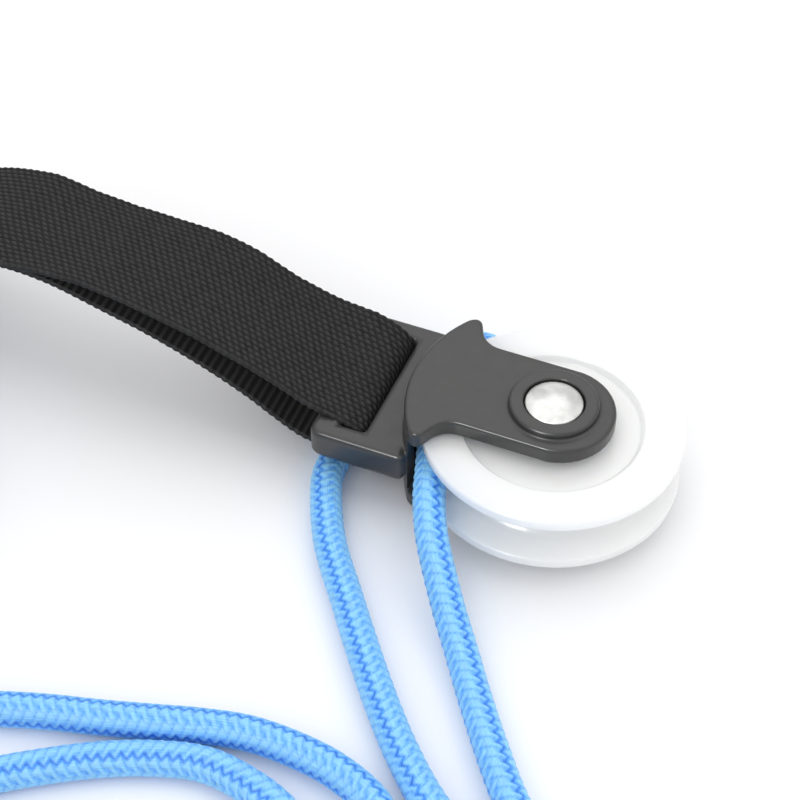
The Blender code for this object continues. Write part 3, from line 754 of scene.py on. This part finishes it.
def end_cap(name, start, centre, heading, node, body):
    """A plug with a rounded rim and a shallow dish in its outer face."""
    radius = CAP_RADIUS
    rim = 1.6 * MM
    high = start + CAP_THICKNESS
    profile = [(0.0, high - 0.7 * MM), (0.45 * radius, high - 0.6 * MM), (0.66 * radius, high - 0.1 * MM)]
    profile += arc((radius - rim, high - rim), rim, 90.0, 0.0, 10)
    profile += [(radius, start + 0.3 * MM), (radius - 0.3 * MM, start), (0.0, start)]
    cap = lathe(name, profile, 128 if FINE else 48)
    cap.data.transform(lying(centre, heading))
    put_on(cap, body, "grip_plastic", GRIP_LOOK, node)


def make_anchor():
    """The door anchor: a foam roll on a tube, plugged at both ends."""
    centre = Vector((ANCHOR[0], 0.0, ANCHOR[1]))
    across = math.radians(90.0)
    foam_sleeve("anchor_sleeve", centre, across, ANCHOR_BORE, ANCHOR_RADIUS, -ANCHOR_HALF, ANCHOR_HALF,
                "anchor_foam", "strap")
    for side, heading in (("left", across), ("right", -across)):
        end_cap(f"anchor_plug_{side}", ANCHOR_HALF + GAP, centre, heading, f"anchor_cap_{side}", "strap")
    softened("anchor_tube", "anchor_core", "strap", "grip_plastic", GRIP_LOOK,
             (0.4 if FINE else 0.8) * MM, 2)


def make_grip(name, centre, heading):
    """A T-shaped hand grip: a moulded core with a neck, two foam sleeves and two plugs."""
    centre = Vector(centre) * MM
    softened(f"{name}_moulding", f"{name}_core", "housing", "grip_plastic", GRIP_LOOK,
             (0.3 if FINE else 0.8) * MM, 6)
    for side, turn in (("left", 0.0), ("right", math.pi)):
        foam_sleeve(f"{name}_sleeve_{side}", centre, heading + turn, GRIP_BORE, GRIP_RADIUS,
                    GRIP_START, GRIP_END, f"{name}_grip_{side}", "housing")
        end_cap(f"{name}_plug_{side}", GRIP_END + GAP, centre, heading + turn,
                f"{name}_cap_{side}", "housing")


make_anchor()
make_grip("handle_far", (-262.0, -118.0, 14.0), math.radians(-90.0))
make_grip("handle_near", (-85.0, -170.0, 14.0), 0.0)


# ---------------------------------------------------------------- cords

ROPE_DIAMETER = 6.3 * MM
COLUMNS = 6                     # of strands round the rope
STITCH = 2.0 * MM               # the length of one zigzag tooth
SLANT = 1.1
STRAND_RELIEF = 0.42 * MM

# degrees round the wheel between which the rope lies in the groove
WRAP_START = 161.6
WRAP_END = 196.8

COIL_CENTRE = (-148.0 * MM, -62.0 * MM)
COIL_OUTER = 41.4 * MM
COIL_LOW = 4.6 * MM
COIL_STEP = 6.4 * MM
COIL_TURNS = 4
COIL_CLIMB = 0.35               # the share of a turn in which it climbs to the second layer

TIE_HALF_WIDTH = 4.0 * MM
TIE_THICKNESS = 0.55 * MM

# routes of the rope, in millimetres: the far side of the wheel up to the coil, from the
# coil to the far grip, and the near side
ROUTE_A = [
    (-20.86, 7.59, 12.0), (-19.8, 11.0, 12.0), (-19.0, 15.3, 11.8), (-19.4, 19.8, 10.4),
    (-21.8, 23.2, 8.1), (-25.5, 24.4, 5.7), (-29.8, 23.4, 4.1), (-33.8, 20.5, 3.4),
    (-37.1, 16.2, 3.2), (-39.3, 11.0, 3.2), (-40.6, 4.0, 3.2), (-40.5, -5.0, 3.2),
    (-39.8, -12.5, 3.2), (-38.6, -19.0, 3.2), (-32.4, -31.3, 3.2), (-23.7, -42.8, 3.2),
    (-16.6, -51.9, 3.2), (-9.6, -60.5, 3.2), (-2.4, -68.5, 3.2), (5.4, -75.7, 3.2),
    (14.0, -81.5, 3.2), (24.5, -86.5, 3.2), (33.5, -93.0, 3.2), (36.0, -103.0, 3.2),
    (30.5, -112.0, 3.2), (20.5, -113.5, 3.2), (12.5, -107.0, 3.2), (9.0, -97.5, 3.2),
    (4.5, -87.5, 3.2), (-1.8, -80.4, 3.2), (-9.7, -76.8, 3.2), (-17.9, -75.4, 3.2),
    (-27.4, -75.4, 3.2), (-35.9, -77.2, 3.2), (-44.4, -79.8, 3.2), (-52.9, -82.4, 3.2),
    (-61.5, -84.8, 3.2), (-69.9, -87.6, 3.2), (-86.0, -93.6, 3.3), (-103.0, -99.0, 3.8),
    (-121.5, -102.6, 4.6),
]
ROUTE_A_TAIL = [
    (-176.0, -103.6, 8.6), (-188.0, -106.4, 6.2), (-200.0, -110.0, 4.4),
    (-213.0, -114.8, 3.4), (-222.5, -117.4, 3.5), (-231.9, -118.0, 5.4),
]
ROUTE_B = [
    (-21.25, -6.4, 12.0), (-20.0, -10.7, 12.0), (-18.5, -15.2, 12.0),
    (-16.1, -22.1, 12.0), (-12.5, -29.2, 10.0), (-5.9, -38.5, 6.2), (-0.2, -45.9, 4.0),
    (5.7, -54.1, 3.2), (11.9, -62.5, 3.2), (18.2, -70.3, 3.2), (26.5, -78.5, 3.2),
    (37.0, -85.5, 3.2), (46.0, -95.0, 3.2), (48.0, -108.0, 3.2), (41.0, -120.0, 3.2),
    (27.0, -125.5, 3.2), (12.0, -122.5, 3.2), (2.0, -113.0, 3.2), (-3.5, -101.5, 3.2),
    (-9.0, -92.5, 3.2), (-16.4, -87.0, 3.2), (-25.2, -84.4, 3.2), (-33.0, -84.0, 3.2),
    (-41.8, -86.6, 3.2), (-49.5, -90.2, 3.2), (-56.5, -94.4, 3.2), (-64.0, -99.6, 3.2),
    (-74.0, -108.0, 3.2), (-81.5, -119.0, 3.2), (-84.6, -130.5, 3.5), (-85.0, -139.9, 5.4),
]


def coil_turns():
    """Four turns: a flat spiral inwards, then a second layer outwards on top of it."""
    points = []
    steps = 60
    layer = 0.5 * COIL_TURNS
    inner = COIL_OUTER - layer * COIL_STEP
    for k in range(COIL_TURNS * steps + 1):
        turn = k / steps
        if turn <= layer:
            radius = COIL_OUTER - COIL_STEP * turn
            height = COIL_LOW
        else:
            radius = inner + COIL_STEP * (turn - layer)
            climb = min((turn - layer) / COIL_CLIMB, 1.0)
            height = COIL_LOW + ROPE_DIAMETER * (3.0 - 2.0 * climb) * climb * climb
        angle = math.radians(-90.0 - 360.0 * turn)
        points.append((
            COIL_CENTRE[0] + radius * math.cos(angle), COIL_CENTRE[1] + radius * math.sin(angle), height,
        ))
    return np.array(points)


def far_line(spacing):
    """The far side's rope, from the wheel through the coil to its hand grip."""
    turns = coil_turns()
    knots = [np.array(ROUTE_A) * MM, turns[::5], np.array(ROUTE_A_TAIL) * MM]
    return smooth_line(np.vstack(knots), spacing)


def near_line(spacing):
    """The near side's rope, from its turn round the wheel to its hand grip."""
    turn = arc((0.0, 0.0), ROPE_WRAP_RADIUS, WRAP_START, WRAP_END, 8)
    over_wheel = np.array([(x, y, WHEEL_MID) for x, y in turn])
    return smooth_line(np.vstack([over_wheel[:-1], np.array(ROUTE_B) * MM]), spacing)


def frames_along(points):
    """Two cross directions at each point, carried along without twist."""
    tangents = np.gradient(points, axis=0)
    tangents /= np.linalg.norm(tangents, axis=1)[:, None]
    side = np.cross(tangents[0], (0.0, 0.0, 1.0))
    side /= np.linalg.norm(side)
    sides = [side]
    for tangent in tangents[1:]:
        side = side - tangent * np.dot(side, tangent)
        side = side / np.linalg.norm(side)
        sides.append(side)
    sides = np.array(sides)
    return sides, np.cross(tangents, sides)


def braid_height(along, around):
    """Height from 0 to 1 of the braid at a place on the rope.

    Columns of slanted strands lean left and right in turn. Every second seam between
    two columns is an open zigzag and the others are drawn together.
    """
    tooth = np.abs(np.mod(along / STITCH, 1.0) - 0.5) * 2.0
    column = COLUMNS * around + 0.38 * (tooth - 0.5)
    index = np.floor(column)
    across = column - index
    leans = np.where(np.mod(index, 2.0) < 1.0, 1.0, -1.0)
    strand = np.abs(np.sin(math.pi * (along / STITCH + leans * SLANT * (across - 0.5)))) ** 0.6
    to_open = np.where(leans > 0.0, across, 1.0 - across)
    seam_open = np.clip(to_open / 0.22, 0.0, 1.0)
    seam_drawn = np.clip((1.0 - to_open) / 0.12, 0.0, 1.0)
    body = 0.45 + 0.55 * strand
    return body * (0.12 + 0.88 * seam_open ** 0.8) * (0.78 + 0.22 * seam_drawn)


def braided_tube(name, points, sides):
    """The rope's surface with its braid raised, and closed ends."""
    sides_a, sides_b = frames_along(points)
    steps = np.linalg.norm(np.diff(points, axis=0), axis=1)
    along = np.concatenate([[0.0], np.cumsum(steps)])[:, None]
    around = np.arange(sides)[None, :] / sides
    # crown shapes the strands and also feeds the painted light and shade of the rope's colour
    crown = braid_height(along, around)
    radius = 0.5 * ROPE_DIAMETER - STRAND_RELIEF * (1.0 - crown)
    angle = 2.0 * math.pi * around
    rings = (
        points[:, None, :] + (radius * np.cos(angle))[..., None] * sides_a[:, None, :]
        + (radius * np.sin(angle))[..., None] * sides_b[:, None, :]
    )
    count = len(points)
    grid = np.arange(count * sides).reshape(count, sides)
    following = np.roll(grid, -1, axis=1)
    quads = np.stack([grid[:-1], following[:-1], following[1:], grid[1:]], axis=-1).reshape(-1, 4)
    faces = quads.tolist() + [grid[0, ::-1].tolist(), grid[-1].tolist()]
    u = np.repeat(along, sides, axis=1).reshape(-1)
    v = np.repeat(around, count, axis=0).reshape(-1) * math.pi * ROPE_DIAMETER
    return woven_mesh(name, rings, faces, crown, "rope", np.column_stack([u, v]))


def tape_height(across, along):
    """Hook tape: a fine, even nap of rows of hooks."""
    rows = np.abs(np.sin(math.pi * across / (0.8 * MM)))
    return rows * (0.6 + 0.4 * np.abs(np.sin(math.pi * along / (0.6 * MM))))


def make_tie(name, angle, node):
    """A hook-and-loop strip closed round the coil's rope, at an angle round the coil."""
    low, high = 0.35 * MM, 14.55 * MM
    inner, outer = 24.9 * MM, 45.05 * MM
    edge = 3.2 * MM
    corners = (
        ((inner + edge, high - edge), 180.0, 90.0), ((outer - edge, high - edge), 90.0, 0.0),
        ((outer - edge, low + edge), 0.0, -90.0), ((inner + edge, low + edge), -90.0, -180.0),
    )
    points = []
    for centre, start, end in corners:
        points += arc(centre, edge, start, end, 10)
    spacing = (0.3 if FINE else 0.7) * MM
    line = even(np.array(points + points[:1]), spacing)[:-1][::-1]
    tie = ribbon(name, line, TIE_HALF_WIDTH, TIE_THICKNESS, 30 if FINE else 12, tape_height)
    tie.data.transform(Matrix.Translation((*COIL_CENTRE, 0.0)) @ Matrix.Rotation(angle, 4, "Z"))
    return put_on(tie, "housing", "tie_webbing", TIE_LOOK, node)


def make_ropes():
    """Both sides of the rope, and the ties that hold the far side's coil."""
    spacing = (0.3 if FINE else 0.8) * MM
    sides = 54 if FINE else 24
    ties = [
        make_tie("tie_left", math.radians(150.0), "coil_tie_left"),
        make_tie("tie_right", math.radians(15.0), "coil_tie_right"),
    ]
    cords = (
        ("rope_far_side", far_line(spacing), ("rope_far", "rope_coil", "rope_far_tail"), ties),
        ("rope_near_side", near_line(spacing), ("rope_near",), []),
    )
    for name, points, nodes, held in cords:
        rope = braided_tube(name, points, sides)
        put_on(rope, "housing", "rope_braid", ROPE_LOOK, *nodes)


make_ropes()


# ---------------------------------------------------------------- floor, light and world

FLOOR_HALF = 3.0
WORLD_STRENGTH = 0.78
AIM = Vector((-0.02, -0.01, 0.01))

# discs of light: (name, place, diameter, watts). The glint only shows in reflections.
LIGHTS = (
    ("key", (-0.15, 0.3, 0.8), 1.0, 2.1),
    ("fill", (0.5, 0.1, 0.65), 0.6, 0.8),
    ("front", (-0.1, -0.6, 0.6), 0.7, 1.3),
    ("glint", (-0.17, -0.75, 0.62), 0.26, 6.0),
)


def make_stage():
    """A pale floor, an even world and soft lights."""
    mesh = bpy.data.meshes.new("floor")
    corners = [(x * FLOOR_HALF, y * FLOOR_HALF, 0.0) for x, y in ((-1, -1), (1, -1), (1, 1), (-1, 1))]
    mesh.from_pydata(corners, [], [(0, 1, 2, 3)])
    floor = link(bpy.data.objects.new("floor", mesh))
    floor.data.materials.append(white_floor("floor_white"))

    world = bpy.data.worlds.new("studio")
    world.use_nodes = True
    background = world.node_tree.nodes["Background"]
    background.inputs["Color"].default_value = (1.0, 1.0, 1.0, 1.0)
    background.inputs["Strength"].default_value = WORLD_STRENGTH
    bpy.context.scene.world = world
    bpy.context.scene.view_settings.view_transform = "Standard"

    for name, place, size, power in LIGHTS:
        data = bpy.data.lights.new(name, "AREA")
        data.shape = "DISK"
        data.size = size
        data.energy = power
        light = link(bpy.data.objects.new(name, data))
        light.location = place
        light.rotation_euler = (AIM - Vector(place)).to_track_quat("-Z", "Y").to_euler()
        light.visible_diffuse = name != "glint"


make_stage()
